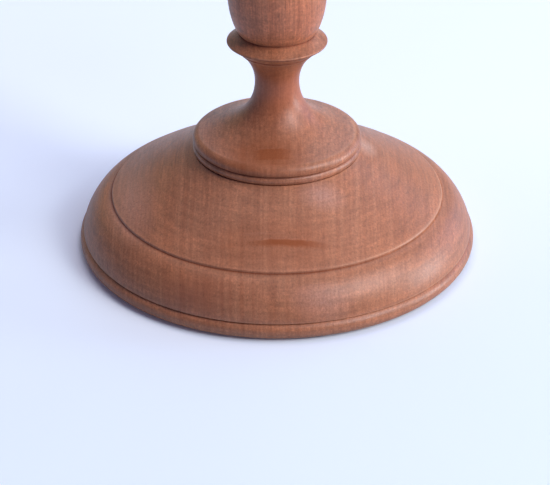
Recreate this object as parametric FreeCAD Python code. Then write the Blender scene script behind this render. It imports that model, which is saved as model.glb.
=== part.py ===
"""Turned wooden candle stand: moulded base, spindle stem, candle cup and a drop-in brass nozzle.

Millimetres. The origin is the centre of the underside, and +Z runs up the turning axis.
Each wooden or metal piece is a turning: an outline in (radius, height), spun about that axis.
Values that end in share are parts of the size they follow.
"""
import FreeCAD, Part
import math
import os

# Driving sizes of the whole stand
base_diameter = 120.0        # over the nose of the foot bead
candle_diameter = 22.0       # the standard household candle
glue_gap = 0.1               # radial room for glue round a tenon or a dowel
hole_relief = 1.0            # room left beyond the end of a tenon, a dowel or the screw

# Base, outside: foot bead, ovolo, step, sloping top and the beaded seat of the stem
foot_bead_height = 4.4
foot_bead_stand = 1.5        # how far a bead's nose stands out of its chord
foot_bead_undercut = 1.15    # how much further in its lower root is
foot_quirk_width = 0.6
foot_quirk_depth = 0.9
ovolo_setback = 1.05         # from the foot bead's nose in to the foot of the ovolo
ovolo_width = 9.0
ovolo_height = 10.8
ovolo_foot_share = 0.29      # how far up the ovolo stays upright
ovolo_lean_share = 0.04      # how far it leans in over that height
ovolo_crown_share = 0.58     # how far its crown runs in
ovolo_drop_share = 0.105     # how far that crown falls
step_height = 0.7
step_setback = 0.2
top_slope_rise = 13.55
seat_bead_radius = 24.75
seat_quirk_width = 0.25
seat_quirk_depth = 0.35
seat_bead_height = 2.1
seat_bead_stand = 0.5
seat_lip_height = 0.25
seat_radius = 24.4           # the joint line under the stem's foot

# Base, inside and underneath
mortise_depth = 18.0
felt_margin = 5.0            # bare rim left round the felt
felt_recess_depth = 1.2
chuck_recess_radius = 25.0   # dovetailed recess that held the blank on the lathe
chuck_dovetail = 0.9
felt_thickness = 1.5
felt_edge_gap = 0.3

# Stem, foot: tenon and rounded rim
tenon_radius = 10.0
tenon_chamfer = 1.0
rim_height = 3.15
rim_chamfer_width = 0.55     # opens the joint line into a fine crease
rim_chamfer_height = 0.3
rim_width = 1.65
rim_stand_share = 0.27       # how far the rim's round swells beyond the chamfer
rim_foot_share = 0.47
rim_crown_share = 0.82
rim_drop_share = 0.19

# Stem, middle: cavetto, waist, collar and the crevice above it
cavetto_rise = 16.3
cavetto_slope_share = 0.21   # slope of the foot's top where it leaves the rim
cavetto_foot_share = 0.58
cavetto_waist_share = 0.56
waist_radius = 6.5
waist_hollow_radius = 12.0
waist_hollow_rise = 9.2
collar_radius = 14.6
collar_fillet = 0.3          # upright band between the hollow and the collar's underside
collar_underside_rise = 2.6
collar_nose_height = 0.75
collar_nose_stand = 0.25
collar_crown_rise = 2.15
crevice_radius = 10.8

# Stem, top: vase, upper waist, ring, cove and shoulder
bulb_radius = 14.25
bulb_rise = 12.75
bulb_lean_share = 0.5
bulb_lift_share = 0.12
bulb_belly_share = 0.42
taper_length = 72.0
taper_belly_share = 0.2
taper_waist_share = 0.45
upper_waist_radius = 6.6
upper_hollow_radius = 20.0
upper_hollow_rise = 8.0
ring_fillet = 0.6
ring_height = 4.4
ring_stand = 2.0
cove_height = 5.0
cove_depth = 1.1
shoulder_radius = 8.6
shoulder_height = 0.9

# Dowel between stem and cup
dowel_radius = 3.0
dowel_length = 24.0
dowel_chamfer = 0.6

# Candle cup: foot, bowl, flare, lip and dished top
cup_foot_height = 0.9
cup_floor = 10.5             # from the cup's underside up to the floor of its bore
cup_web = 2.0                # wood left between the dowel's hole and that bore
bowl_wall = 4.3              # wood left outside the bore at the bowl's widest
bowl_rise = 12.5
bowl_lean_share = 0.8
bowl_lift_share = 0.08
bowl_belly_share = 0.5
flare_waist_share = 0.58
flare_lip_share = 0.62
flare_lift_share = 0.06
lip_height = 3.2
lip_stand = 0.6
lip_width = 1.6              # flat left on top of the lip
dish_width = 5.6             # from the nozzle's flange out to the lip
dish_depth = 2.2
dish_hollow = 0.45           # how far the dish sags below its chord

# Brass nozzle that drops into the cup
candle_gap = 0.2             # radial room round the candle
nozzle_wall = 0.8
nozzle_depth = 21.5
nozzle_corner = 1.6
nozzle_gap = 0.3             # radial room in the cup's bore
nozzle_floor_gap = 0.5
flange_width = 4.2
flange_thickness = 0.8
flange_gap = 0.5
roll_height = 1.5            # the flange's rolled edge
roll_width = 0.75
mouth_rounding = 0.5

# Wood screw and washer, which clamp the stem down onto its seat
washer_radius = 7.0
washer_thickness = 1.2
washer_chamfer = 0.25
screw_radius = 2.25
screw_length = 35.0
screw_point = 5.0
screw_tip_radius = 0.3
screw_gap = 0.3              # radial room where the screw passes through base and washer
pilot_gap = 0.1              # radial room round the threads in the stem
screw_head_radius = 4.5
screw_head_height = 2.3
screw_head_edge = 0.7
screw_head_room = 0.7        # air between the head and the felt
slot_width = 1.1
slot_depth = 1.2

# Heights and radii where the pieces meet, worked out from the sizes above
base_radius = base_diameter / 2
wood_bottom = felt_thickness - felt_recess_depth
chuck_floor = felt_thickness + screw_head_room + screw_head_height + washer_thickness
ovolo_bottom = wood_bottom + foot_bead_height + foot_quirk_width
step_bottom = ovolo_bottom + ovolo_height
step_top = step_bottom + step_height
seat_bead_bottom = step_top + top_slope_rise + seat_quirk_width
seat_bead_top = seat_bead_bottom + seat_bead_height
seat_height = seat_bead_top + seat_lip_height
mortise_floor = seat_height - mortise_depth
tenon_end = mortise_floor + hole_relief
rim_top = seat_height + rim_height
waist_height = rim_top + cavetto_rise
collar_root = waist_height + waist_hollow_rise
collar_bottom = collar_root + collar_fillet + collar_underside_rise
collar_top = collar_bottom + collar_nose_height
crevice_height = collar_top + collar_crown_rise
bulb_height = crevice_height + bulb_rise
upper_waist_height = bulb_height + taper_length
ring_bottom = upper_waist_height + upper_hollow_rise
ring_top = ring_bottom + ring_height
cove_top = ring_top + cove_height
stem_top = cove_top + shoulder_height
bore_floor = stem_top + cup_floor
nozzle_bottom = bore_floor + nozzle_floor_gap
dish_floor = nozzle_bottom + nozzle_depth
lip_top = dish_floor + dish_depth
lip_bottom = lip_top - lip_height
bowl_height = stem_top + bowl_rise
dowel_top = bore_floor - cup_web - hole_relief
dowel_bottom = dowel_top - dowel_length
screw_head_top = chuck_floor - washer_thickness
screw_end = screw_head_top + screw_length
socket_radius = candle_diameter / 2 + candle_gap
nozzle_radius = socket_radius + nozzle_wall
flange_radius = nozzle_radius + flange_width
cup_bore_radius = nozzle_radius + nozzle_gap
bowl_radius = cup_bore_radius + bowl_wall
dish_start_radius = flange_radius + flange_gap
lip_root = dish_start_radius + dish_width + lip_width


class Turning:
    """An outline in (radius, height), drawn edge by edge and then spun about the Z axis."""

    def __init__(self, radius, height):
        self.start = FreeCAD.Vector(radius, 0, height)
        self.pen = self.start
        self.heading = None
        self.edges = []

    def line(self, radius, height):
        end = FreeCAD.Vector(radius, 0, height)
        self.edges.append(Part.LineSegment(self.pen, end).toShape())
        self.heading = end - self.pen
        self.pen = end

    def bulge(self, radius, height, stand):
        """An arc whose middle stands out of its chord, to the right of the way it is drawn."""
        end = FreeCAD.Vector(radius, 0, height)
        chord = end - self.pen
        outward = FreeCAD.Vector(chord.z, 0, -chord.x).normalize()
        middle = (self.pen + end) / 2 + outward * stand
        turn = math.atan(2 * stand / chord.Length)
        start_heading = chord * math.cos(2 * turn) + outward * (chord.Length * math.sin(2 * turn))
        self.arc_through(middle, end, start_heading)

    def glide(self, radius, height):
        """An arc that leaves the last edge smoothly."""
        end = FreeCAD.Vector(radius, 0, height)
        chord = end - self.pen
        aside = self.heading - chord * (self.heading.dot(chord) / chord.dot(chord))
        sagitta = chord.Length / 2 * math.tan(self.heading.getAngle(chord) / 2)
        self.arc_through((self.pen + end) / 2 + aside.normalize() * sagitta, end, self.heading)

    def arc_through(self, middle, end, start_heading):
        """The end heading is the start heading mirrored in the chord."""
        chord = end - self.pen
        self.edges.append(Part.Arc(self.pen, middle, end).toShape())
        self.heading = chord * (2 * start_heading.dot(chord) / chord.dot(chord)) - start_heading
        self.pen = end

    def curve(self, first_handle, second_handle, end):
        """A free curve steered by two handles; all three are (radius, height)."""
        points = [FreeCAD.Vector(radius, 0, height) for radius, height in (first_handle, second_handle, end)]
        bezier = Part.BezierCurve()
        bezier.setPoles([self.pen] + points)
        self.edges.append(bezier.toShape())
        self.heading = points[2] - points[1]
        self.pen = points[2]

    def solid(self):
        self.line(self.start.x, self.start.z)
        outline = Part.Face(Part.Wire(self.edges))
        return outline.revolve(FreeCAD.Vector(0, 0, 0), FreeCAD.Vector(0, 0, 1), 360)


def bead_reach(height, undercut, stand):
    """How far a bead's nose reaches out beyond its upper root."""
    chord = math.hypot(height, undercut)
    round_radius = (chord ** 2 / 4 + stand ** 2) / (2 * stand)
    return round_radius - (round_radius - stand) * height / chord - undercut / 2


def hollow_widening(hollow_radius, rise):
    """How far a round hollow has widened at this rise above its waist."""
    return hollow_radius - math.sqrt(hollow_radius ** 2 - rise ** 2)


def disc(radius, bottom, top):
    """A plain cylinder on the axis: a felt disc, or the air inside a drilled hole."""
    return Part.makeCylinder(radius, top - bottom, FreeCAD.Vector(0, 0, bottom))


def base_plate():
    """The moulded base, with its mortise, screw hole, chuck recess and felt recess."""
    bead_root = base_radius - bead_reach(foot_bead_height, foot_bead_undercut, foot_bead_stand)
    ovolo_radius = base_radius - ovolo_setback
    crown_radius = ovolo_radius - ovolo_width
    turning = Turning(screw_radius + screw_gap, mortise_floor)
    turning.line(screw_radius + screw_gap, chuck_floor)
    turning.line(chuck_recess_radius + chuck_dovetail, chuck_floor)
    turning.line(chuck_recess_radius, felt_thickness)
    turning.line(base_radius - felt_margin, felt_thickness)
    turning.line(base_radius - felt_margin, wood_bottom)
    turning.line(bead_root - foot_bead_undercut, wood_bottom)
    turning.bulge(bead_root, wood_bottom + foot_bead_height, foot_bead_stand)
    turning.line(bead_root - foot_quirk_depth, ovolo_bottom)
    turning.line(ovolo_radius, ovolo_bottom)
    turning.curve(
        (ovolo_radius - ovolo_width * ovolo_lean_share, ovolo_bottom + ovolo_height * ovolo_foot_share),
        (crown_radius + ovolo_width * ovolo_crown_share, step_bottom - ovolo_height * ovolo_drop_share),
        (crown_radius, step_bottom),
    )
    turning.line(crown_radius - step_setback, step_top)
    turning.line(seat_bead_radius, seat_bead_bottom - seat_quirk_width)
    turning.line(seat_bead_radius - seat_quirk_depth, seat_bead_bottom - seat_quirk_width)
    turning.line(seat_bead_radius - seat_quirk_depth, seat_bead_bottom)
    turning.line(seat_bead_radius, seat_bead_bottom)
    turning.bulge(seat_radius, seat_bead_top, seat_bead_stand)
    turning.line(seat_radius, seat_height)
    turning.line(tenon_radius + glue_gap, seat_height)
    turning.line(tenon_radius + glue_gap, mortise_floor)
    return turning.solid()


def draw_stem_foot(turning):
    """The tenon, then the rim: a chamfer at the joint line and a round up to its arris."""
    round_bottom = seat_height + rim_chamfer_height
    round_height = rim_top - round_bottom
    round_radius = seat_radius + rim_chamfer_width
    arris_radius = round_radius - rim_width
    turning.line(tenon_radius - tenon_chamfer, tenon_end)
    turning.line(tenon_radius, tenon_end + tenon_chamfer)
    turning.line(tenon_radius, seat_height)
    turning.line(seat_radius, seat_height)
    turning.line(round_radius, round_bottom)
    turning.curve(
        (round_radius + rim_width * rim_stand_share, round_bottom + round_height * rim_foot_share),
        (arris_radius + rim_width * rim_crown_share, rim_top - round_height * rim_drop_share),
        (arris_radius, rim_top),
    )


def draw_stem_collar(turning):
    """The cavetto up to the waist, the hollow above it and the collar."""
    cavetto_width = turning.pen.x - waist_radius
    turning.curve(
        (turning.pen.x - cavetto_width * cavetto_foot_share,
         rim_top + cavetto_width * cavetto_foot_share * cavetto_slope_share),
        (waist_radius, waist_height - cavetto_rise * cavetto_waist_share),
        (waist_radius, waist_height),
    )
    turning.glide(waist_radius + hollow_widening(waist_hollow_radius, waist_hollow_rise), collar_root)
    nose_root = collar_radius - collar_nose_stand
    turning.line(turning.pen.x, collar_root + collar_fillet)
    turning.line(nose_root, collar_bottom)
    turning.bulge(nose_root, collar_top, collar_nose_stand)
    turning.line(crevice_radius, crevice_height)


def draw_stem_vase(turning):
    """The vase above the crevice and its long taper to the upper waist."""
    turning.curve(
        (crevice_radius + (bulb_radius - crevice_radius) * bulb_lean_share,
         crevice_height + bulb_rise * bulb_lift_share),
        (bulb_radius, bulb_height - bulb_rise * bulb_belly_share),
        (bulb_radius, bulb_height),
    )
    turning.curve(
        (bulb_radius, bulb_height + taper_length * taper_belly_share),
        (upper_waist_radius, upper_waist_height - taper_length * taper_waist_share),
        (upper_waist_radius, upper_waist_height),
    )


def draw_stem_top(turning):
    """The upper hollow, the ring between its fillets, the cove and the shoulder."""
    fillet_radius = upper_waist_radius + hollow_widening(upper_hollow_radius, upper_hollow_rise)
    turning.glide(fillet_radius, ring_bottom)
    turning.line(fillet_radius + ring_fillet, ring_bottom)
    turning.bulge(fillet_radius + ring_fillet, ring_top, ring_stand)
    turning.line(fillet_radius, ring_top)
    turning.bulge(shoulder_radius, cove_top, -cove_depth)
    turning.line(shoulder_radius, stem_top)
    turning.line(0, stem_top)


def stem():
    """The spindle, turned in one piece, with its pilot hole and dowel hole."""
    turning = Turning(0, tenon_end)
    draw_stem_foot(turning)
    draw_stem_collar(turning)
    draw_stem_vase(turning)
    draw_stem_top(turning)
    pilot_hole = disc(screw_radius + pilot_gap, tenon_end, screw_end + hole_relief)
    dowel_hole = disc(dowel_radius + glue_gap, dowel_bottom - hole_relief, stem_top)
    return turning.solid().cut(pilot_hole).cut(dowel_hole)


def candle_cup():
    """The bowl and its flared lip, bored for the nozzle and drilled for the dowel."""
    foot_top = stem_top + cup_foot_height
    flare_width = lip_root - bowl_radius
    flare_rise = lip_bottom - bowl_height
    turning = Turning(0, stem_top)
    turning.line(shoulder_radius, stem_top)
    turning.line(shoulder_radius, foot_top)
    turning.curve(
        (shoulder_radius + (bowl_radius - shoulder_radius) * bowl_lean_share,
         foot_top + bowl_rise * bowl_lift_share),
        (bowl_radius, bowl_height - bowl_rise * bowl_belly_share),
        (bowl_radius, bowl_height),
    )
    turning.curve(
        (bowl_radius, bowl_height + flare_rise * flare_waist_share),
        (lip_root - flare_width * flare_lip_share, lip_bottom - flare_rise * flare_lift_share),
        (lip_root, lip_bottom),
    )
    turning.bulge(lip_root, lip_top, lip_stand)
    turning.line(lip_root - lip_width, lip_top)
    turning.bulge(dish_start_radius, dish_floor, -dish_hollow)
    turning.line(cup_bore_radius, dish_floor)
    turning.line(cup_bore_radius, bore_floor)
    turning.line(0, bore_floor)
    dowel_hole = disc(dowel_radius + glue_gap, stem_top, dowel_top + hole_relief)
    return turning.solid().cut(dowel_hole)


def candle_nozzle():
    """The spun brass cup: closed tube, flat flange and rolled edge."""
    flange_top = dish_floor + flange_thickness
    roll_root = flange_radius - roll_width
    socket_corner = nozzle_corner - nozzle_wall
    turning = Turning(0, nozzle_bottom)
    turning.line(nozzle_radius - nozzle_corner, nozzle_bottom)
    turning.glide(nozzle_radius, nozzle_bottom + nozzle_corner)
    turning.line(nozzle_radius, dish_floor)
    turning.line(roll_root, dish_floor)
    turning.bulge(roll_root, dish_floor + roll_height, roll_width)
    turning.line(roll_root, flange_top)
    turning.line(socket_radius + mouth_rounding, flange_top)
    turning.glide(socket_radius, flange_top - mouth_rounding)
    turning.line(socket_radius, nozzle_bottom + nozzle_corner)
    turning.glide(socket_radius - socket_corner, nozzle_bottom + nozzle_wall)
    turning.line(0, nozzle_bottom + nozzle_wall)
    return turning.solid()


def base_screw():
    """The pan head wood screw, driven up through the base into the stem's tenon."""
    head_bottom = screw_head_top - screw_head_height
    turning = Turning(0, head_bottom)
    turning.line(screw_head_radius - screw_head_edge, head_bottom)
    turning.glide(screw_head_radius, head_bottom + screw_head_edge)
    turning.line(screw_head_radius, screw_head_top)
    turning.line(screw_radius, screw_head_top)
    turning.line(screw_radius, screw_end - screw_point)
    turning.line(screw_tip_radius, screw_end)
    turning.line(0, screw_end)
    slot_length = screw_head_radius * 2
    corner = FreeCAD.Vector(-screw_head_radius, -slot_width / 2, head_bottom)
    return turning.solid().cut(Part.makeBox(slot_length, slot_width, slot_depth, corner))


def screw_washer():
    """The plain washer between the screw's head and the floor of the chuck recess."""
    turning = Turning(screw_radius + screw_gap, screw_head_top)
    turning.line(washer_radius - washer_chamfer, screw_head_top)
    turning.line(washer_radius, screw_head_top + washer_chamfer)
    turning.line(washer_radius, chuck_floor)
    turning.line(screw_radius + screw_gap, chuck_floor)
    return turning.solid()


def base_felt():
    """The felt disc that the stand rests on, a little proud of the wood."""
    return disc(base_radius - felt_margin - felt_edge_gap, 0, felt_thickness)


def cup_dowel():
    """The straight dowel that joins the cup to the stem, chamfered at both ends."""
    turning = Turning(0, dowel_bottom)
    turning.line(dowel_radius - dowel_chamfer, dowel_bottom)
    turning.line(dowel_radius, dowel_bottom + dowel_chamfer)
    turning.line(dowel_radius, dowel_top - dowel_chamfer)
    turning.line(dowel_radius - dowel_chamfer, dowel_top)
    turning.line(0, dowel_top)
    return turning.solid()


os.makedirs("parts", exist_ok=True)
for make in (base_plate, stem, candle_cup, candle_nozzle, cup_dowel, base_screw, screw_washer, base_felt):
    make().exportStep("parts/" + make.__name__ + ".step")
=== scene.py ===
import math

import bpy
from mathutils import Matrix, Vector, noise


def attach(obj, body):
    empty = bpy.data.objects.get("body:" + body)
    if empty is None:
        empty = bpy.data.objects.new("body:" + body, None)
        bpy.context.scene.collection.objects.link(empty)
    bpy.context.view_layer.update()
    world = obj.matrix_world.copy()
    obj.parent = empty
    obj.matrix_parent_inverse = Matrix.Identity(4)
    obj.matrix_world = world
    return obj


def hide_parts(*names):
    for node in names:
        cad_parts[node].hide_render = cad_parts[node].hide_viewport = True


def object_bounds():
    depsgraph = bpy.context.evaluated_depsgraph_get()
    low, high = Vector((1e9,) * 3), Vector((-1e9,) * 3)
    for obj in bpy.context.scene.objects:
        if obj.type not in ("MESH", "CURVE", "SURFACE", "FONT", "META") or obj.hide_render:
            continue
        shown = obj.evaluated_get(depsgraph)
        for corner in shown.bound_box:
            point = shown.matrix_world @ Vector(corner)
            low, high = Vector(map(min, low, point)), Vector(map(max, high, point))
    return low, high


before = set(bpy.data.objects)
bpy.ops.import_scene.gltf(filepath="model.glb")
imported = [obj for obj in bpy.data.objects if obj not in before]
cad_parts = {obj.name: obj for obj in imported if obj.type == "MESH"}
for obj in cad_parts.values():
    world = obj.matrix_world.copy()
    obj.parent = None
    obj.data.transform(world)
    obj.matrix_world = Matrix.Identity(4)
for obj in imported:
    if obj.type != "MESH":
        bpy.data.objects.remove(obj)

cad_low, cad_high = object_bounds()

# Metres and radians. Each piece made here is a turning: an outline in (radius, height) spun about the Z axis,
# drawn with the same sizes as its solid.

# Base, outside
base_radius = min(cad_high.x, cad_high.y)
foot_bead_height = 0.0044
foot_bead_stand = 0.0015
foot_bead_undercut = 0.00115
foot_quirk_width = 0.0006
foot_quirk_depth = 0.0009
ovolo_setback = 0.00105
ovolo_width = 0.009
ovolo_height = 0.0108
ovolo_foot_share = 0.29
ovolo_lean_share = 0.04
ovolo_crown_share = 0.58
ovolo_drop_share = 0.105
step_height = 0.0007
step_setback = 0.0002
top_slope_rise = 0.01355
seat_bead_radius = 0.02475
seat_quirk_width = 0.00025
seat_quirk_depth = 0.00035
seat_bead_height = 0.0021
seat_bead_stand = 0.0005
seat_lip_height = 0.00025
seat_radius = 0.0244

# Base, inside and underneath
glue_gap = 0.0001
hole_relief = 0.001
mortise_depth = 0.018
felt_margin = 0.005
felt_recess_depth = 0.0012
chuck_recess_radius = 0.025
chuck_dovetail = 0.0009
felt_thickness = 0.0015
felt_edge_gap = 0.0003
screw_radius = 0.00225
screw_gap = 0.0003
screw_head_room = 0.0007
screw_head_height = 0.0023
washer_thickness = 0.0012

# Stem, foot and middle
tenon_radius = 0.010
tenon_chamfer = 0.001
rim_height = 0.00315
rim_chamfer_width = 0.00055
rim_chamfer_height = 0.0003
rim_width = 0.00165
rim_stand_share = 0.27
rim_foot_share = 0.47
rim_crown_share = 0.82
rim_drop_share = 0.19
cavetto_rise = 0.0163
cavetto_slope_share = 0.21
cavetto_foot_share = 0.58
cavetto_waist_share = 0.56
waist_radius = 0.0065
waist_hollow_radius = 0.012
waist_hollow_rise = 0.0092
collar_radius = 0.0146
collar_fillet = 0.0003
collar_underside_rise = 0.0026
collar_nose_height = 0.00075
collar_nose_stand = 0.00025
collar_crown_rise = 0.00215
crevice_radius = 0.0108

# Stem, top
bulb_radius = 0.01425
bulb_rise = 0.01275
bulb_lean_share = 0.5
bulb_lift_share = 0.12
bulb_belly_share = 0.42
taper_length = 0.072
taper_belly_share = 0.2
taper_waist_share = 0.45
upper_waist_radius = 0.0066
upper_hollow_radius = 0.020
upper_hollow_rise = 0.008
ring_fillet = 0.0006
ring_height = 0.0044
ring_stand = 0.002
cove_height = 0.005
cove_depth = 0.0011
shoulder_radius = 0.0086
shoulder_height = 0.0009

# Candle cup and nozzle
cup_foot_height = 0.0009
cup_floor = 0.0105
bowl_wall = 0.0043
bowl_rise = 0.0125
bowl_lean_share = 0.8
bowl_lift_share = 0.08
bowl_belly_share = 0.5
flare_waist_share = 0.58
flare_lip_share = 0.62
flare_lift_share = 0.06
lip_height = 0.0032
lip_stand = 0.0006
lip_width = 0.0016
dish_width = 0.0056
dish_depth = 0.0022
dish_hollow = 0.00045
socket_radius = 0.0112
nozzle_wall = 0.0008
nozzle_depth = 0.0215
nozzle_corner = 0.0016
nozzle_gap = 0.0003
nozzle_floor_gap = 0.0005
flange_width = 0.0042
flange_thickness = 0.0008
flange_gap = 0.0005
roll_height = 0.0015
roll_width = 0.00075
mouth_rounding = 0.0005

# Heights and radii worked out from the sizes above
felt_recess_radius = base_radius - felt_margin
felt_radius = felt_recess_radius - felt_edge_gap
wood_bottom = felt_thickness - felt_recess_depth
chuck_floor = felt_thickness + screw_head_room + screw_head_height + washer_thickness
ovolo_bottom = wood_bottom + foot_bead_height + foot_quirk_width
step_bottom = ovolo_bottom + ovolo_height
step_top = step_bottom + step_height
seat_bead_bottom = step_top + top_slope_rise + seat_quirk_width
seat_bead_top = seat_bead_bottom + seat_bead_height
seat_height = seat_bead_top + seat_lip_height
mortise_floor = seat_height - mortise_depth
tenon_end = mortise_floor + hole_relief
rim_top = seat_height + rim_height
waist_height = rim_top + cavetto_rise
collar_root = waist_height + waist_hollow_rise
collar_bottom = collar_root + collar_fillet + collar_underside_rise
collar_top = collar_bottom + collar_nose_height
crevice_height = collar_top + collar_crown_rise
bulb_height = crevice_height + bulb_rise
upper_waist_height = bulb_height + taper_length
ring_bottom = upper_waist_height + upper_hollow_rise
ring_top = ring_bottom + ring_height
cove_top = ring_top + cove_height
stem_top = cove_top + shoulder_height
bore_floor = stem_top + cup_floor
nozzle_bottom = bore_floor + nozzle_floor_gap
dish_floor = nozzle_bottom + nozzle_depth
lip_top = dish_floor + dish_depth
lip_bottom = lip_top - lip_height
bowl_height = stem_top + bowl_rise
nozzle_radius = socket_radius + nozzle_wall
cup_bore_radius = nozzle_radius + nozzle_gap
bowl_radius = cup_bore_radius + bowl_wall
flange_radius = nozzle_radius + flange_width
dish_start_radius = flange_radius + flange_gap
lip_root = dish_start_radius + dish_width + lip_width

# How the outlines are drawn
arris_ease = 0.00016  # how far sanding has worn each arris back
metal_ease = 0.0001
felt_ease = 0.0004
largest_ease_share = 0.4  # of an edge's length
ease_steps = 4
board_steps = 300
spindle_steps = 180
nozzle_steps = 120
felt_steps = 180
fewest_line_steps = 2
fewest_arc_steps = 3
fewest_curve_steps = 8
step_length = 0.0009
step_angle = math.radians(5)
sharp_angle = math.radians(9)
same_place = 1e-9
# How far the rubbed arrises, which also carry a painted highlight, and the painted shade in the hollows reach
# along the outline
wear_and_highlight_reach = 0.0005
crease_shade_reach = 0.0004

# Looks. In the materials a place is in millimetres. A grain is a noise: its frequency per millimetre
# each way, its detail and, where it isn't the usual one, its roughness. A span is a value's low and high
# end, and where it has four numbers the last two are what those ends become.
to_millimetres = 1000
backdrop_colour = (0.84, 0.92, 1.0, 1)

# Turned wood; its first four grains are measured across the layers, along the fibres and the third way
layer_grain = (0.8, 0.004, 0.02), 2, 0.6
streak_grain = (1.5, 0.03, 0.35), 2, 0.6
fibre_grain = (3.4, 0.12, 3.4), 1, 0.5
pore_grain = (2.6, 0.35, 2.6), 1, 0.5
wander_grain = (0.025, 0.025, 0.025), 1, 0.5
wander_reach = 1.2
speckle_grain = (1.5, 1.5, 1.5), 2, 0.7
patch_grain = (0.05, 0.03, 0.05), 3, 0.6
tool_rings_across = 0.75
tool_rings_around = 4.5
tool_rings_detail = 2
layer_span = 0.34, 0.66
patch_span = 0.40, 0.62, 0, 0.45
streak_span = 0.32, 0.68
streak_swing = 0.11
spindle_boldness = 1.6  # how much stronger the stem's and cup's streaks are than the base's
fibre_shades = 0.3, 0.7, 0.92, 1.08
pore_shades = 0.60, 0.72, 1.0, 0.80
speckle_shades = 0.3, 0.7, 0.80, 1.20
ring_shades = 0.3, 0.7, 0.85, 1.15
finish_roughness = 0.3, 0.7, 0.36, 0.46
streak_relief = 0.5
ring_relief = 0.8
pore_pits = 0.60, 0.72, 0, 0.8
wood_bump = 0.00004, 0.6  # a bump is its height in metres and its strength
dark_layer = (0.322, 0.113, 0.053, 1)
light_layer = (0.397, 0.155, 0.078, 1)
patch_tone = (0.411, 0.139, 0.058, 1)

# Rubbed, lighter arrises that also carry a painted highlight, and painted shade in the hollows; on the lit
# right side the highlight is stronger and, above the quirk of the base's foot, the painted shade fainter
lit_side_span = 12, 40
lit_side_height_span = 8, 12
worn_and_highlight_strength = 0.14
worn_and_highlight_strength_right = 0.45
worn_and_highlight_tone = (0.62, 0.30, 0.17, 1)
crease_shade_strength = 0.52
crease_shade_strength_right = 0.12
crease_shade_tone = (0.10, 0.008, 0.002, 1)

# The stem's warmer waist and lighter vase
waist_warmth_span = 3, 13, 0.55, 0
waist_tone = (0.39, 0.084, 0.023, 1)
vase_tint_below = 1
vase_tint_above = 2
vase_tint = (1.22, 1.07, 1.01, 1)

# Painted dark reflections of the stand above, as warm bands on the feet of the base and the stem; shares are
# of a mark's reach
base_mark = {"middle": 3.0, "reach": 24, "far": -39.4, "near": -42.9, "strength": 1.0, "wash": 0.32}
stem_mark = {"middle": -1.5, "reach": 15, "far": -15.5, "near": -21.5, "strength": 0.9, "wash": 0.62}
mark_ragged_grain = (0.5, 0.9, 0.5), 3
mark_far_softness = 0.8
mark_near_softness = 1.7
mark_core_start_share = 0.18
mark_core_end_share = 0.5
mark_core_strength = 0.65
mark_tail_aside_share = 0.18
mark_tail_start_share = 0.5
mark_tail_strength = 0.35
mark_wash_span = 3.5, 10
mark_wash_start_share = 0.4
mark_wash_end_share = 0.95
mark_height_span = 40, 45  # the parts above are left clean
mark_strength = 0.9
mark_roughness = 0.3
mark_tone = (0.25, 0.050, 0.002, 1)

# Spots on the base: middle, reach each way, strength, tone. The first tone serves specks of dust and one
# painted highlight band, the second is a painted sheen and the third painted shade
dust_and_highlight_tone = (0.66, 0.46, 0.38, 1)
painted_sheen_tone = (0.55, 0.32, 0.27, 1)
dark = (0.20, 0.058, 0.040, 1)
base_spots = (
    ((26.5, 2.5, 29.0), (4.5, 7.0, 5.0), 0.45, dust_and_highlight_tone),
    ((17.0, -18.5, 26.0), (0.9, 0.9, 1.5), 0.6, dust_and_highlight_tone),
    ((35.0, -38.0, 13.0), (0.9, 1.2, 1.5), 0.6, dust_and_highlight_tone),
    # A painted highlight band just behind the painted dark reflection on the top
    ((-3.0, -38.4, 19.5), (12.0, 1.0, 4.0), 0.16, dust_and_highlight_tone),
    # Painted sheen where the finish would mirror the lamps, in these three
    ((13.0, -26.0, 28.0), (8.0, 6.0, 8.0), 0.40, painted_sheen_tone),
    ((11.5, -54.0, 9.5), (11.0, 6.0, 6.0), 0.34, painted_sheen_tone),
    ((-43.0, -10.0, 19.0), (11.0, 30.0, 8.0), 0.42, painted_sheen_tone),
    # Painted shade on the front left of the ovolo
    ((-22.0, -50.5, 9.0), (16.0, 9.0, 8.0), 0.50, dark),
)
spot_core_share = 0.1
spot_speckle_span = 0.3, 0.6, 0.5, 1

# Brass
spinning_grain = (9, 9, 9), 3, 0.6
haze_grain = (0.12, 0.12, 0.12), 4, 0.6
haze_span = 0.4, 0.7
brass_roughness = 0.3, 0.7, 0.18, 0.34
brass_bright = (0.80, 0.56, 0.22, 1)
brass_aged = (0.55, 0.36, 0.15, 1)
metal_bump = 0.00002, 0.5

# Steel
steel_grain = (1.2, 1.2, 1.2), 4
steel_span = 0.35, 0.65
steel_roughness = 0.3, 0.7, 0.30, 0.45
steel_dull = (0.50, 0.50, 0.50, 1)
steel_bright = (0.62, 0.61, 0.58, 1)

# Dowel
dowel_grain = (4, 4, 0.15), 3
dowel_span = 0.3, 0.7
dowel_roughness = 0.3, 0.7, 0.62, 0.75
dowel_dark = (0.52, 0.36, 0.20, 1)
dowel_light = (0.68, 0.50, 0.31, 1)

# Felt
hair_grain = (1.6, 2.4, 1.6), 5, 0.7
hair_distortion = 1.6
hair_span = 0.3, 0.7
mottle_grain = (0.18, 0.18, 0.18), 3
mottle_span = 0.4, 0.7, 0, 0.35
felt_dark = (0.030, 0.085, 0.045, 1)
felt_light = (0.075, 0.17, 0.095, 1)
felt_mottle = (0.05, 0.11, 0.06, 1)
felt_roughness = 0.95
felt_sheen = 0.4
felt_sheen_roughness = 0.5
felt_bump = 0.0003, 0.8
snip_scale = 9
snip_depth = 0.00012
snip_start_share = 0.9
nap_scale = 90
nap_depth = 0.00008

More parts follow.
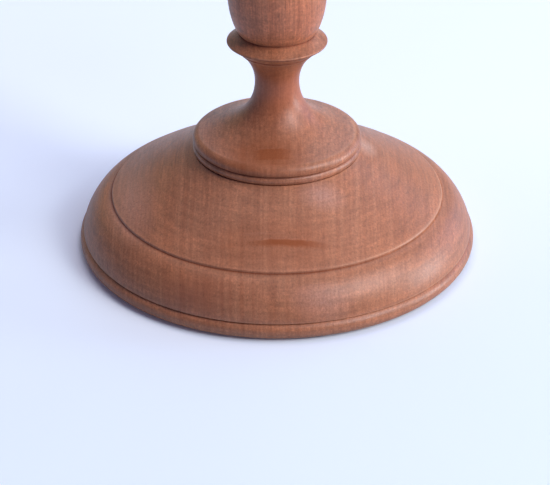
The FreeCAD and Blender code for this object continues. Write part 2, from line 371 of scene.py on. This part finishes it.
# Floor; its glow fades in past the foot's edge and grows towards the back
cloth_colour = (0.69, 0.80, 0.90, 1)
cloth_roughness = 0.9
cloth_specular = 0.2
cloth_glow_colour = (1.0, 0.82, 1.0, 1)
foot_glow_span = 60, 62, 0.4, 1
backward_glow_span = -30, 80, 0.13, 0.22
backdrop_span = 260, 560
floor_radius = 3.0
floor_overlap = 0.0009  # how far the floor reaches in under the foot
floor_steps = 96

# Room
room_colour = (0.15, 0.20, 1.0, 1)
room_strength = 0.11
mirrored_colour = (0.84, 0.91, 1.0, 1)
mirrored_strength = 0.37

# Camera, fitted to the photograph
sensor_width = 36
lens_length = 111.27
clip_start = 0.01
camera_place = (-0.0006, -0.4532, 0.2623)
camera_pitch = 30.33  # degrees below level

# Lamps: azimuth from +X towards +Y and elevation in degrees, distance, width, power, colour
lamp_aim_height = 0.03
lamps = (
    ("window_high", -22, 42, 2.0, 1.2, 24.5, (1.0, 0.97, 1.0)),
    ("window_gap", -37, 35, 2.0, 0.5, 10.3, (1.0, 0.96, 0.97)),
    ("window_front", -60, 56, 2.0, 0.4, 2.8, (0.75, 0.80, 1.0)),
    ("window_right", 2, 8, 2.0, 0.6, 18.5, (0.85, 0.94, 1.0)),
    ("sky_low", 32, 16, 2.0, 1.2, 9.0, (0.10, 0.50, 1.0)),
    ("back_high", 65, 42, 2.0, 1.2, 6.2, (0.62, 0.78, 1.0)),
    ("back_low", 90, 20, 2.0, 1.2, 4.2, (0.52, 0.76, 1.0)),
    ("ceiling", 90, 76, 2.0, 1.6, 12.1, (1.0, 0.95, 0.92)),
    ("wall", 130, 16, 2.0, 1.0, 0.85, (1.0, 0.72, 0.10)),
    ("underside", 0, -90, 1.0, 0.3, 2.0, (1.0, 1.0, 1.0)),
)


def turned_right(way):
    return Vector((way.y, -way.x))


class Outline:
    """Edges in (radius, height), each a list of (point, heading) samples, drawn up the outside of a piece."""

    def __init__(self, radius, height):
        self.start = Vector((radius, height))
        self.pen = self.start
        self.heading = None
        self.edges = []

    def add(self, samples):
        self.edges.append(samples)
        self.pen, self.heading = samples[-1]

    def line(self, radius, height):
        end = Vector((radius, height))
        way = end - self.pen
        steps = max(fewest_line_steps, math.ceil(way.length / step_length))
        heading = way.normalized()
        self.add([(self.pen + way * (i / steps), heading) for i in range(steps + 1)])

    def arc(self, end, sagitta, aside):
        """An arc to end whose middle lies sagitta away from the chord, on the side given."""
        chord = end - self.pen
        along = chord.normalized()
        sweep = 4 * math.atan(2 * sagitta / chord.length)
        radius = chord.length / 2 / math.sin(sweep / 2)
        centre = self.pen + chord / 2 + aside * (sagitta - radius)
        steps_for_angle = math.ceil(sweep / step_angle)
        steps_for_length = math.ceil(radius * sweep / step_length)
        steps = max(fewest_arc_steps, steps_for_angle, steps_for_length)
        samples = []
        for i in range(steps + 1):
            angle = sweep * (i / steps - 0.5)
            point = centre + radius * (along * math.sin(angle) + aside * math.cos(angle))
            samples.append((point, along * math.cos(angle) - aside * math.sin(angle)))
        self.add(samples)

    def bulge(self, radius, height, stand):
        """An arc whose middle stands out of its chord, to the right of the way it is drawn."""
        end = Vector((radius, height))
        aside = turned_right(end - self.pen).normalized() * math.copysign(1, stand)
        self.arc(end, abs(stand), aside)

    def glide(self, radius, height):
        """An arc that leaves the last edge smoothly."""
        end = Vector((radius, height))
        chord = end - self.pen
        aside = self.heading - chord * (self.heading.dot(chord) / chord.dot(chord))
        sagitta = chord.length / 2 * math.tan(self.heading.angle(chord) / 2)
        self.arc(end, sagitta, aside.normalized())

    def curve(self, first_handle, second_handle, end):
        """A free curve steered by two handles; all three are (radius, height)."""
        a, b, c, d = self.pen, Vector(first_handle), Vector(second_handle), Vector(end)
        reach = (b - a).length + (c - b).length + (d - c).length
        steps = max(fewest_curve_steps, math.ceil(reach / step_length))
        samples = []
        for i in range(steps + 1):
            t = i / steps
            s = 1 - t
            point = a * s ** 3 + b * (3 * s * s * t) + c * (3 * s * t * t) + d * t ** 3
            heading = (b - a) * s * s + (c - b) * (2 * s * t) + (d - c) * t * t
            samples.append((point, heading.normalized()))
        self.add(samples)

    def close(self):
        self.line(self.start.x, self.start.y)


def shortened(samples, cut):
    """The samples of an edge with a length cut off its start."""
    run = 0
    for i in range(1, len(samples)):
        (before, heading), (after, next_heading) = samples[i - 1], samples[i]
        step = (after - before).length
        if run + step > cut:
            share = (cut - run) / step
            return [(before.lerp(after, share), heading.lerp(next_heading, share).normalized())] + samples[i:]
        run += step
    return samples[-2:]


def edge_length(samples):
    return sum((b[0] - a[0]).length for a, b in zip(samples, samples[1:]))


def eased_ring(outline, ease):
    """One list of (point, heading, corner) round the closed outline, with its arrises rounded.

    corner is 1 on a rounded arris, -1 in a sharp hollow and 0 elsewhere."""
    edges = outline.edges
    lengths = [edge_length(edge) for edge in edges]
    turns = []
    for i, edge in enumerate(edges):
        after = edges[(i + 1) % len(edges)]
        turn = edge[-1][1].angle_signed(after[0][1])
        on_axis = edge[-1][0].x <= 0
        turns.append(0 if on_axis or abs(turn) < sharp_angle else -turn)
    ring = []
    for i, edge in enumerate(edges):
        cuts = []
        for turn, other in ((turns[i - 1], lengths[i - 1]), (turns[i], lengths[(i + 1) % len(edges)])):
            largest = largest_ease_share * min(lengths[i], other)
            cuts.append(min(ease, largest) if turn else 0)
        kept = shortened(edge, cuts[0]) if cuts[0] else edge
        if cuts[1]:
            kept = shortened([(p, -h) for p, h in reversed(kept)], cuts[1])
            kept = [(p, -h) for p, h in reversed(kept)]
        ring.extend((p, h, 0) for p, h in (kept if not ring or turns[i - 1] else kept[1:]))
        if cuts[1]:
            corner = edge[-1][0]
            after = edges[(i + 1) % len(edges)]
            start, end = kept[-1][0], shortened(after, cuts[1])[0][0]
            for step in range(1, ease_steps):
                t = step / ease_steps
                point = start * (1 - t) ** 2 + corner * (2 * t * (1 - t)) + end * t * t
                heading = ((corner - start) * (1 - t) + (end - corner) * t).normalized()
                ring.append((point, heading, math.copysign(1, turns[i])))
    if (ring[-1][0] - ring[0][0]).length < same_place:
        ring.pop()
    return ring


def nearness(ring, sign, reach):
    """For each sample, 1 at a corner of this sign, fading to 0 at reach along the outline."""
    runs = [0]
    for a, b in zip(ring, ring[1:]):
        runs.append(runs[-1] + (b[0] - a[0]).length)
    corners = [run for run, sample in zip(runs, ring) if sample[2] == sign]
    return [max([0] + [1 - abs(run - corner) / reach for corner in corners]) for run in runs]


def lathe(name, outline, material, ease=arris_ease, steps=board_steps):
    """A mesh spun from an outline, with exact normals, and as attributes the rings of its rubbed arrises,
    which also carry a painted highlight, and of its hollows, which carry painted shade.
    """
    ring = eased_ring(outline, ease)
    # Rubbed arrises, which also carry a painted highlight, and hollows, which carry painted shade
    wear_and_highlight = nearness(ring, 1, wear_and_highlight_reach)
    crease_shade = nearness(ring, -1, crease_shade_reach)
    points, normals, worn_and_highlit, crease_shading, rows = [], [], [], [], []
    for (point, heading, corner), wear_and_highlight_here, crease_shade_here in zip(ring, wear_and_highlight, crease_shade):
        out = turned_right(heading)
        on_axis = point.x < same_place
        row = []
        for step in range(1 if on_axis else steps):
            angle = 2 * math.pi * step / steps
            turn_x, turn_y = math.cos(angle), math.sin(angle)
            row.append(len(points))
            points.append((point.x * turn_x, point.x * turn_y, point.y))
            normal = (out.x * turn_x, out.x * turn_y, out.y)
            normals.append((0, 0, math.copysign(1, out.y)) if on_axis else normal)
            worn_and_highlit.append(wear_and_highlight_here)
            crease_shading.append(crease_shade_here)
        rows.append(row)
    faces = []
    for low, high in zip(rows, rows[1:] + rows[:1]):
        if len(low) == len(high) == 1:
            continue
        for i in range(steps):
            j = (i + 1) % steps
            if len(low) == 1:
                faces.append((low[0], high[j], high[i]))
            elif len(high) == 1:
                faces.append((low[i], low[j], high[0]))
            else:
                faces.append((low[i], low[j], high[j], high[i]))
    mesh = bpy.data.meshes.new(name)
    mesh.from_pydata(points, [], faces)
    mesh.polygons.foreach_set("use_smooth", [True] * len(faces))
    for title, values in (("wear_and_highlight", worn_and_highlit), ("crease_shade", crease_shading)):
        mesh.attributes.new(title, "FLOAT", "POINT").data.foreach_set("value", values)
    mesh.normals_split_custom_set_from_vertices(normals)
    mesh.materials.append(material)
    piece = bpy.data.objects.new(name, mesh)
    bpy.context.scene.collection.objects.link(piece)
    return piece


def bead_reach(height, undercut, stand):
    """How far a bead's nose reaches out beyond its upper root."""
    chord = math.hypot(height, undercut)
    round_radius = (chord ** 2 / 4 + stand ** 2) / (2 * stand)
    return round_radius - (round_radius - stand) * height / chord - undercut / 2


bead_root = base_radius - bead_reach(foot_bead_height, foot_bead_undercut, foot_bead_stand)
wood_bottom_radius = bead_root - foot_bead_undercut


def base_outline():
    ovolo_radius = base_radius - ovolo_setback
    crown_radius = ovolo_radius - ovolo_width
    outline = Outline(screw_radius + screw_gap, mortise_floor)
    outline.line(screw_radius + screw_gap, chuck_floor)
    outline.line(chuck_recess_radius + chuck_dovetail, chuck_floor)
    outline.line(chuck_recess_radius, felt_thickness)
    outline.line(felt_recess_radius, felt_thickness)
    outline.line(felt_recess_radius, wood_bottom)
    outline.line(wood_bottom_radius, wood_bottom)
    outline.bulge(bead_root, wood_bottom + foot_bead_height, foot_bead_stand)
    outline.line(bead_root - foot_quirk_depth, ovolo_bottom)
    outline.line(ovolo_radius, ovolo_bottom)
    outline.curve(
        (ovolo_radius - ovolo_width * ovolo_lean_share, ovolo_bottom + ovolo_height * ovolo_foot_share),
        (crown_radius + ovolo_width * ovolo_crown_share, step_bottom - ovolo_height * ovolo_drop_share),
        (crown_radius, step_bottom),
    )
    outline.line(crown_radius - step_setback, step_top)
    outline.line(seat_bead_radius, seat_bead_bottom - seat_quirk_width)
    outline.line(seat_bead_radius - seat_quirk_depth, seat_bead_bottom - seat_quirk_width)
    outline.line(seat_bead_radius - seat_quirk_depth, seat_bead_bottom)
    outline.line(seat_bead_radius, seat_bead_bottom)
    outline.bulge(seat_radius, seat_bead_top, seat_bead_stand)
    outline.line(seat_radius, seat_height)
    outline.line(tenon_radius + glue_gap, seat_height)
    outline.line(tenon_radius + glue_gap, mortise_floor)
    outline.close()
    return outline


def stem_outline():
    round_bottom = seat_height + rim_chamfer_height
    round_height = rim_top - round_bottom
    round_radius = seat_radius + rim_chamfer_width
    arris_radius = round_radius - rim_width
    outline = Outline(0, tenon_end)
    outline.line(tenon_radius - tenon_chamfer, tenon_end)
    outline.line(tenon_radius, tenon_end + tenon_chamfer)
    outline.line(tenon_radius, seat_height)
    outline.line(seat_radius, seat_height)
    outline.line(round_radius, round_bottom)
    outline.curve(
        (round_radius + rim_width * rim_stand_share, round_bottom + round_height * rim_foot_share),
        (arris_radius + rim_width * rim_crown_share, rim_top - round_height * rim_drop_share),
        (arris_radius, rim_top),
    )
    cavetto_width = outline.pen.x - waist_radius
    outline.curve(
        (outline.pen.x - cavetto_width * cavetto_foot_share,
         rim_top + cavetto_width * cavetto_foot_share * cavetto_slope_share),
        (waist_radius, waist_height - cavetto_rise * cavetto_waist_share),
        (waist_radius, waist_height),
    )
    widening = waist_hollow_radius - math.sqrt(waist_hollow_radius ** 2 - waist_hollow_rise ** 2)
    outline.glide(waist_radius + widening, collar_root)
    nose_root = collar_radius - collar_nose_stand
    outline.line(outline.pen.x, collar_root + collar_fillet)
    outline.line(nose_root, collar_bottom)
    outline.bulge(nose_root, collar_top, collar_nose_stand)
    outline.line(crevice_radius, crevice_height)
    outline.curve(
        (crevice_radius + (bulb_radius - crevice_radius) * bulb_lean_share,
         crevice_height + bulb_rise * bulb_lift_share),
        (bulb_radius, bulb_height - bulb_rise * bulb_belly_share),
        (bulb_radius, bulb_height),
    )
    outline.curve(
        (bulb_radius, bulb_height + taper_length * taper_belly_share),
        (upper_waist_radius, upper_waist_height - taper_length * taper_waist_share),
        (upper_waist_radius, upper_waist_height),
    )
    widening = upper_hollow_radius - math.sqrt(upper_hollow_radius ** 2 - upper_hollow_rise ** 2)
    fillet_radius = upper_waist_radius + widening
    outline.glide(fillet_radius, ring_bottom)
    outline.line(fillet_radius + ring_fillet, ring_bottom)
    outline.bulge(fillet_radius + ring_fillet, ring_top, ring_stand)
    outline.line(fillet_radius, ring_top)
    outline.bulge(shoulder_radius, cove_top, -cove_depth)
    outline.line(shoulder_radius, stem_top)
    outline.line(0, stem_top)
    return outline


def cup_outline():
    foot_top = stem_top + cup_foot_height
    flare_width = lip_root - bowl_radius
    flare_rise = lip_bottom - bowl_height
    outline = Outline(0, stem_top)
    outline.line(shoulder_radius, stem_top)
    outline.line(shoulder_radius, foot_top)
    outline.curve(
        (shoulder_radius + (bowl_radius - shoulder_radius) * bowl_lean_share,
         foot_top + bowl_rise * bowl_lift_share),
        (bowl_radius, bowl_height - bowl_rise * bowl_belly_share),
        (bowl_radius, bowl_height),
    )
    outline.curve(
        (bowl_radius, bowl_height + flare_rise * flare_waist_share),
        (lip_root - flare_width * flare_lip_share, lip_bottom - flare_rise * flare_lift_share),
        (lip_root, lip_bottom),
    )
    outline.bulge(lip_root, lip_top, lip_stand)
    outline.line(lip_root - lip_width, lip_top)
    outline.bulge(dish_start_radius, dish_floor, -dish_hollow)
    outline.line(cup_bore_radius, dish_floor)
    outline.line(cup_bore_radius, bore_floor)
    outline.line(0, bore_floor)
    return outline


def nozzle_outline():
    flange_top = dish_floor + flange_thickness
    roll_root = flange_radius - roll_width
    socket_corner = nozzle_corner - nozzle_wall
    outline = Outline(0, nozzle_bottom)
    outline.line(nozzle_radius - nozzle_corner, nozzle_bottom)
    outline.glide(nozzle_radius, nozzle_bottom + nozzle_corner)
    outline.line(nozzle_radius, dish_floor)
    outline.line(roll_root, dish_floor)
    outline.bulge(roll_root, dish_floor + roll_height, roll_width)
    outline.line(roll_root, flange_top)
    outline.line(socket_radius + mouth_rounding, flange_top)
    outline.glide(socket_radius, flange_top - mouth_rounding)
    outline.line(socket_radius, nozzle_bottom + nozzle_corner)
    outline.glide(socket_radius - socket_corner, nozzle_bottom + nozzle_wall)
    outline.line(0, nozzle_bottom + nozzle_wall)
    return outline


class Nodes:
    """Adds nodes to a tree and links them, with inputs given by name or number."""

    def __init__(self, tree):
        self.tree = tree
        tree.nodes.clear()

    def add(self, kind, inputs=None, output=0, **settings):
        node = self.tree.nodes.new("ShaderNode" + kind)
        for name, value in settings.items():
            setattr(node, name, value)
        for name, value in (inputs or {}).items():
            if isinstance(value, bpy.types.NodeSocket):
                self.tree.links.new(value, node.inputs[name])
            else:
                node.inputs[name].default_value = value
        return node.outputs[output] if len(node.outputs) else node

    def place(self):
        """The point on the surface, in millimetres."""
        here = self.add("TexCoord", output="Object")
        return self.add("VectorMath", {0: here, "Scale": to_millimetres}, operation="SCALE")

    def coordinate(self, place, axis):
        return self.add("SeparateXYZ", {0: place}, output=axis)

    def flat(self, place):
        """The place brought down to the height of the table."""
        return self.add("VectorMath", {0: place, 1: (1, 1, 0)}, operation="MULTIPLY")

    def length(self, place):
        return self.add("VectorMath", {0: place}, output="Value", operation="LENGTH")

    def noise(self, place, scales, detail=2.0, roughness=0.5, distortion=0.0):
        """Noise with a frequency per millimetre along each axis."""
        spread = self.add("VectorMath", {0: place, 1: scales}, operation="MULTIPLY")
        return self.add("TexNoise", {
            "Vector": spread, "Scale": 1, "Detail": detail, "Roughness": roughness, "Distortion": distortion,
        })

    def rings(self, place, across, around, detail):
        """Noise drawn out in rings about the Z axis: across per millimetre, around per radian."""
        flat = self.flat(place)
        spoke = self.add("VectorMath", {0: flat}, operation="NORMALIZE")
        spoke = self.add("VectorMath", {0: spoke, "Scale": around}, operation="SCALE")
        lift = self.add("CombineXYZ", {"Z": self.times(self.length(flat), across)})
        return self.add("TexNoise", {
            "Vector": self.add("VectorMath", {0: spoke, 1: lift}, operation="ADD"),
            "W": self.times(self.coordinate(place, "Z"), across),
            "Scale": 1, "Detail": detail,
        }, noise_dimensions="4D")

    def math(self, operation, a, b=0.0):
        return self.add("Math", {0: a, 1: b}, operation=operation)

    def times(self, a, b):
        return self.math("MULTIPLY", a, b)

    def apart(self, value, middle):
        """How far a value lies from a middle, either way."""
        return self.math("ABSOLUTE", self.math("SUBTRACT", value, middle))

    def span(self, value, low, high, start=0.0, end=1.0):
        """value from low..high carried over to start..end, and held there."""
        return self.add("MapRange", {
            "Value": value, "From Min": low, "From Max": high, "To Min": start, "To Max": end,
        })

    def blend(self, share, a, b, mode="MIX"):
        """Two colours mixed. Inputs 6 and 7 and output 2 are the Mix node's colour sockets."""
        return self.add("Mix", {0: share, 6: a, 7: b}, output=2, data_type="RGBA", blend_type=mode)

    def attribute(self, name):
        return self.add("Attribute", output="Fac", attribute_name=name)

    def bump(self, height, distance, strength):
        return self.add("Bump", {"Height": height, "Distance": distance, "Strength": strength})

    def shader(self, **inputs):
        """A Principled surface; an input's words are joined by underscores."""
        named = {key.replace("_", " "): value for key, value in inputs.items()}
        surface = self.add("BsdfPrincipled", named)
        self.add("OutputMaterial", {"Surface": surface})


def new_material(name):
    material = bpy.data.materials.new(name)
    material.use_nodes = True
    return material, Nodes(material.node_tree)


def wood_material(name, along, mark, boldness=1.0, spindle=False):
    """Close red-brown wood under a rubbed finish, its grain along Y or Z and its layers square to X."""
    material, nodes = new_material(name)
    place = nodes.place()
    side = nodes.coordinate(place, "X")
    height = nodes.coordinate(place, "Z")
    sway = nodes.span(nodes.noise(place, *wander_grain), 0, 1, -wander_reach, wander_reach)
    wandered = nodes.add("VectorMath", {0: nodes.add("CombineXYZ", {"X": sway}), 1: place}, operation="ADD")

    def grain(scales, detail, roughness):
        across, with_grain, depth = scales
        turned = (across, with_grain, depth) if along == "Y" else (across, depth, with_grain)
        return nodes.noise(wandered, turned, detail, roughness)

    layers = grain(*layer_grain)
    streaks = grain(*streak_grain)
    fibres = grain(*fibre_grain)
    pores = grain(*pore_grain)
    speckle = nodes.noise(place, *speckle_grain)
    patches = nodes.noise(place, *patch_grain)
    rings = nodes.rings(place, tool_rings_across, tool_rings_around, tool_rings_detail)

    colour = nodes.blend(nodes.span(layers, *layer_span), dark_layer, light_layer)
    colour = nodes.blend(nodes.span(patches, *patch_span), colour, patch_tone)
    swing = streak_swing * boldness
    shade = nodes.span(streaks, *streak_span, 1 - swing, 1 + swing)
    for pattern, shades in (
        (fibres, fibre_shades),
        (pores, pore_shades),
        (speckle, speckle_shades),
        (rings, ring_shades),
    ):
        shade = nodes.times(shade, nodes.span(pattern, *shades))
    colour = nodes.blend(1.0, colour, nodes.add("CombineColor", {0: shade, 1: shade, 2: shade}), "MULTIPLY")
    # Rubbed arrises with a painted highlight, and painted shade in the hollows
    colour = worn_highlit_and_shaded(nodes, side, height, colour)
    if spindle:
        colour = spindle_tinted(nodes, height, colour)
    # A painted dark reflection of the stand above, on the foot
    dark_reflection = painted_reflection_mark(nodes, place, **mark)
    colour = nodes.blend(nodes.times(dark_reflection, mark_strength), colour, mark_tone)
    # The base's painted sheen, painted highlight band, painted shade and specks of dust
    if not spindle:
        colour = spotted(nodes, place, speckle, colour)

    roughness = nodes.math("MAXIMUM", nodes.span(fibres, *finish_roughness), nodes.attribute("crease_shade"))
    roughness = nodes.math("ADD", roughness, nodes.times(dark_reflection, mark_roughness))
    relief = nodes.math("ADD", nodes.times(streaks, streak_relief), fibres)
    relief = nodes.math("SUBTRACT", relief, nodes.span(pores, *pore_pits))
    relief = nodes.math("ADD", relief, nodes.times(rings, ring_relief))
    nodes.shader(Base_Color=colour, Roughness=roughness, Normal=nodes.bump(relief, *wood_bump))
    return material


def worn_highlit_and_shaded(nodes, side, height, colour):
    """Wood with its arrises rubbed lighter and given a painted highlight, strongest on the lit right side,
    and painted shade in its hollows, fainter there.
    """
    worn_and_highlit = nodes.span(side, *lit_side_span, worn_and_highlight_strength, worn_and_highlight_strength_right)
    colour = nodes.blend(nodes.times(nodes.attribute("wear_and_highlight"), worn_and_highlit), colour, worn_and_highlight_tone)
    lit_side_crease_shade = nodes.span(side, *lit_side_span, crease_shade_strength, crease_shade_strength_right)
    crease_shading = nodes.span(height, *lit_side_height_span, crease_shade_strength, lit_side_crease_shade)
    return nodes.blend(nodes.times(nodes.attribute("crease_shade"), crease_shading), colour, crease_shade_tone)


def spindle_tinted(nodes, height, colour):
    """Wood that is warmer round the waist and lighter on the vase and above."""
    from_waist = nodes.apart(height, waist_height * to_millimetres)
    colour = nodes.blend(nodes.span(from_waist, *waist_warmth_span), colour, waist_tone)
    crevice = crevice_height * to_millimetres
    on_vase = nodes.span(height, crevice - vase_tint_below, crevice + vase_tint_above)
    return nodes.blend(on_vase, colour, vase_tint, "MULTIPLY")


def painted_reflection_mark(nodes, place, middle, reach, far, near, strength, wash):
    """A painted dark reflection of the stand above: a warm band across the foot, from far to near along Y,
    which fades both ways from its middle.

    It lies in a wider and fainter wash."""
    side = nodes.coordinate(place, "X")
    ragged = nodes.math("ADD", nodes.coordinate(place, "Y"), nodes.noise(place, *mark_ragged_grain))
    far_edge = nodes.span(ragged, far - mark_far_softness, far, 1, 0)
    near_edge = nodes.span(ragged, near, near + mark_near_softness)
    core_start = reach * mark_core_start_share
    core_end = reach * mark_core_end_share
    core = nodes.span(nodes.apart(side, middle), core_start, core_end, mark_core_strength, 0)
    aside = nodes.apart(side, middle - reach * mark_tail_aside_share)
    tails = nodes.span(aside, reach * mark_tail_start_share, reach, mark_tail_strength, 0)
    band = nodes.times(nodes.times(far_edge, near_edge), nodes.math("ADD", core, tails))
    spill = nodes.span(nodes.apart(ragged, (far + near) / 2), *mark_wash_span, wash, 0)
    fading = nodes.span(aside, reach * mark_wash_start_share, reach * mark_wash_end_share, 1, 0)
    on_foot = nodes.span(nodes.coordinate(place, "Z"), *mark_height_span, strength, 0)
    return nodes.times(nodes.math("MAXIMUM", band, nodes.times(spill, fading)), on_foot)


def spotted(nodes, place, speckle, colour):
    """Wood with the base's spots of painted sheen, specks of dust, a painted highlight band and a patch of
    painted shade, each broken up by the speckle.
    """
    for middle, size, strength, tone in base_spots:
        offset = nodes.add("VectorMath", {0: place, 1: middle}, operation="SUBTRACT")
        spread = nodes.add("VectorMath", {0: offset, 1: size}, operation="DIVIDE")
        fading = nodes.span(nodes.length(spread), spot_core_share, 1, strength, 0)
        spot = nodes.times(fading, nodes.span(speckle, *spot_speckle_span))
        colour = nodes.blend(spot, colour, tone)
    return colour


def brass_material():
    """Spun brass, polished and a little aged."""
    material, nodes = new_material("brass")
    place = nodes.place()
    radius = nodes.length(nodes.flat(place))
    ring_place = nodes.add("CombineXYZ", {"X": radius, "Y": nodes.coordinate(place, "Z")})
    rings = nodes.noise(ring_place, *spinning_grain)
    haze = nodes.noise(place, *haze_grain)
    nodes.shader(
        Base_Color=nodes.blend(nodes.span(haze, *haze_span), brass_bright, brass_aged),
        Metallic=1.0,
        Roughness=nodes.span(haze, *brass_roughness),
        Normal=nodes.bump(rings, *metal_bump),
    )
    return material


def steel_material():
    material, nodes = new_material("screw_steel")
    grain = nodes.noise(nodes.place(), *steel_grain)
    nodes.shader(
        Base_Color=nodes.blend(nodes.span(grain, *steel_span), steel_dull, steel_bright),
        Metallic=1.0,
        Roughness=nodes.span(grain, *steel_roughness),
        Normal=nodes.bump(grain, *metal_bump),
    )
    return material


def dowel_material():
    material, nodes = new_material("dowel_wood")
    fibres = nodes.noise(nodes.place(), *dowel_grain)
    nodes.shader(
        Base_Color=nodes.blend(nodes.span(fibres, *dowel_span), dowel_dark, dowel_light),
        Roughness=nodes.span(fibres, *dowel_roughness),
        Normal=nodes.bump(fibres, *wood_bump),
    )
    return material


def felt_material():
    material, nodes = new_material("felt")
    place = nodes.place()
    hairs = nodes.noise(place, *hair_grain, distortion=hair_distortion)
    mottle = nodes.noise(place, *mottle_grain)
    colour = nodes.blend(nodes.span(hairs, *hair_span), felt_dark, felt_light)
    nodes.shader(
        Base_Color=nodes.blend(nodes.span(mottle, *mottle_span), colour, felt_mottle),
        Roughness=felt_roughness,
        Sheen_Weight=felt_sheen,
        Sheen_Roughness=felt_sheen_roughness,
        Normal=nodes.bump(hairs, *felt_bump),
    )
    return material


def floor_material():
    """Pale cloth near the stand, the backdrop's colour further off, and nothing when seen from below."""
    material, nodes = new_material("floor")
    light_path = nodes.add("LightPath").node.outputs
    mirrored = nodes.math("MAXIMUM", light_path["Is Glossy Ray"], light_path["Is Transmission Ray"])
    shown = nodes.math("MAXIMUM", light_path["Is Camera Ray"], mirrored)
    place = nodes.place()
    distance = nodes.length(place)
    backward = nodes.coordinate(place, "Y")
    glow = nodes.times(nodes.span(distance, *foot_glow_span), nodes.span(backward, *backward_glow_span))
    cloth = nodes.add("BsdfPrincipled", {
        "Base Color": cloth_colour,
        "Roughness": cloth_roughness,
        "Specular IOR Level": cloth_specular,
        "Emission Color": cloth_glow_colour,
        "Emission Strength": nodes.times(light_path["Is Camera Ray"], glow),
    })
    far = nodes.add("Emission", {"Color": backdrop_colour, "Strength": 1.0})
    share = nodes.times(shown, nodes.span(distance, *backdrop_span))
    lit = nodes.add("MixShader", {0: share, 1: cloth, 2: far})
    below = nodes.times(nodes.add("NewGeometry", output="Backfacing"), shown)
    surface = nodes.add("MixShader", {0: below, 1: lit, 2: nodes.add("BsdfTransparent")})
    nodes.add("OutputMaterial", {"Surface": surface})
    return material


def felt_disc(material):
    """The baize disc: its edge is cut by hand and its face has a soft nap."""
    outline = Outline(0, 0)
    outline.line(felt_radius, 0)
    outline.line(felt_radius, felt_thickness)
    outline.line(0, felt_thickness)
    disc = lathe("felt_baize", outline, material, ease=felt_ease, steps=felt_steps)
    for vertex in disc.data.vertices:
        place = vertex.co
        snip = noise.noise(place.normalized() * snip_scale) * snip_depth
        if math.hypot(place.x, place.y) > felt_radius * snip_start_share:
            place.x *= 1 - abs(snip) / felt_radius
            place.y *= 1 - abs(snip) / felt_radius
        if place.z > felt_thickness / 2:
            place.z -= abs(noise.noise(place * nap_scale)) * nap_depth
    return disc


def make_stage():
    """The floor: a wide ring with a hole under the stand, where it shows the felt from below."""
    points = []
    for radius in (wood_bottom_radius - floor_overlap, floor_radius):
        for step in range(floor_steps):
            angle = 2 * math.pi * step / floor_steps
            points.append((radius * math.cos(angle), radius * math.sin(angle), 0))
    faces = []
    for i in range(floor_steps):
        j = (i + 1) % floor_steps
        faces.append((i, floor_steps + i, floor_steps + j, j))
    mesh = bpy.data.meshes.new("floor")
    mesh.from_pydata(points, [], faces)
    mesh.materials.append(floor_material())
    floor = bpy.data.objects.new("floor", mesh)
    bpy.context.scene.collection.objects.link(floor)


def make_world():
    """The room: dim and bluish as a light, brighter where the finish mirrors it, pale behind the stand."""
    world = bpy.data.worlds.new("room")
    world.use_nodes = True
    nodes = Nodes(world.node_tree)
    room = nodes.add("Background", {"Color": room_colour, "Strength": room_strength})
    mirrored = nodes.add("Background", {"Color": mirrored_colour, "Strength": mirrored_strength})
    backdrop = nodes.add("Background", {"Color": backdrop_colour, "Strength": 1.0})
    lit = nodes.add("MixShader", {0: nodes.add("LightPath", output="Is Glossy Ray"), 1: room, 2: mirrored})
    seen = nodes.add("MixShader", {0: nodes.add("LightPath", output="Is Camera Ray"), 1: lit, 2: backdrop})
    nodes.add("OutputWorld", {"Surface": seen})
    bpy.context.scene.world = world


def make_camera():
    """The photograph's view: a long lens that looks down at the foot of the stand."""
    data = bpy.data.cameras.new("camera")
    data.sensor_width = sensor_width
    data.lens = lens_length
    data.clip_start = clip_start
    camera = bpy.data.objects.new("camera", data)
    camera.location = camera_place
    camera.rotation_euler = (math.radians(90 - camera_pitch), 0, 0)
    bpy.context.scene.collection.objects.link(camera)
    bpy.context.scene.camera = camera


def add_lamp(name, azimuth, elevation, distance, size, power, colour):
    """A square soft box that faces the middle of the base."""
    aim = Vector((0, 0, lamp_aim_height))
    azimuth = math.radians(azimuth)
    elevation = math.radians(elevation)
    way = Vector((
        math.cos(elevation) * math.cos(azimuth),
        math.cos(elevation) * math.sin(azimuth),
        math.sin(elevation),
    ))
    data = bpy.data.lights.new(name, "AREA")
    data.shape = "SQUARE"
    data.size = size
    data.energy = power
    data.color = colour
    lamp = bpy.data.objects.new(name, data)
    lamp.location = aim + way * distance
    lamp.rotation_euler = way.to_track_quat("Z", "Y").to_euler()
    bpy.context.scene.collection.objects.link(lamp)


def dress_node(name, material):
    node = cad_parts[name]
    node.data.materials.clear()
    node.data.materials.append(material)


def put_in_place(piece, slot, *nodes):
    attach(piece, "stand")
    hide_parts(*nodes)


bpy.context.scene.view_settings.view_transform = "Standard"
make_stage()
make_camera()
make_world()
for lamp in lamps:
    add_lamp(*lamp)

board_wood = wood_material("base_wood", "Y", base_mark)
spindle_wood = wood_material("stem_wood", "Z", stem_mark, boldness=spindle_boldness, spindle=True)
base = lathe("turned_base", base_outline(), board_wood)
put_in_place(base, "turned_wood", "base_plate")
stem = lathe("turned_stem", stem_outline(), spindle_wood, steps=spindle_steps)
put_in_place(stem, "turned_wood", "stem")
cup = lathe("turned_cup", cup_outline(), spindle_wood, steps=spindle_steps)
put_in_place(cup, "turned_wood", "candle_cup")
felt = felt_disc(felt_material())
put_in_place(felt, "felt", "base_felt")
nozzle = lathe("spun_nozzle", nozzle_outline(), brass_material(), ease=metal_ease, steps=nozzle_steps)
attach(nozzle, "nozzle")
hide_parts("candle_nozzle")
dress_node("cup_dowel", dowel_material())
steel = steel_material()
dress_node("base_screw", steel)
dress_node("screw_washer", steel)
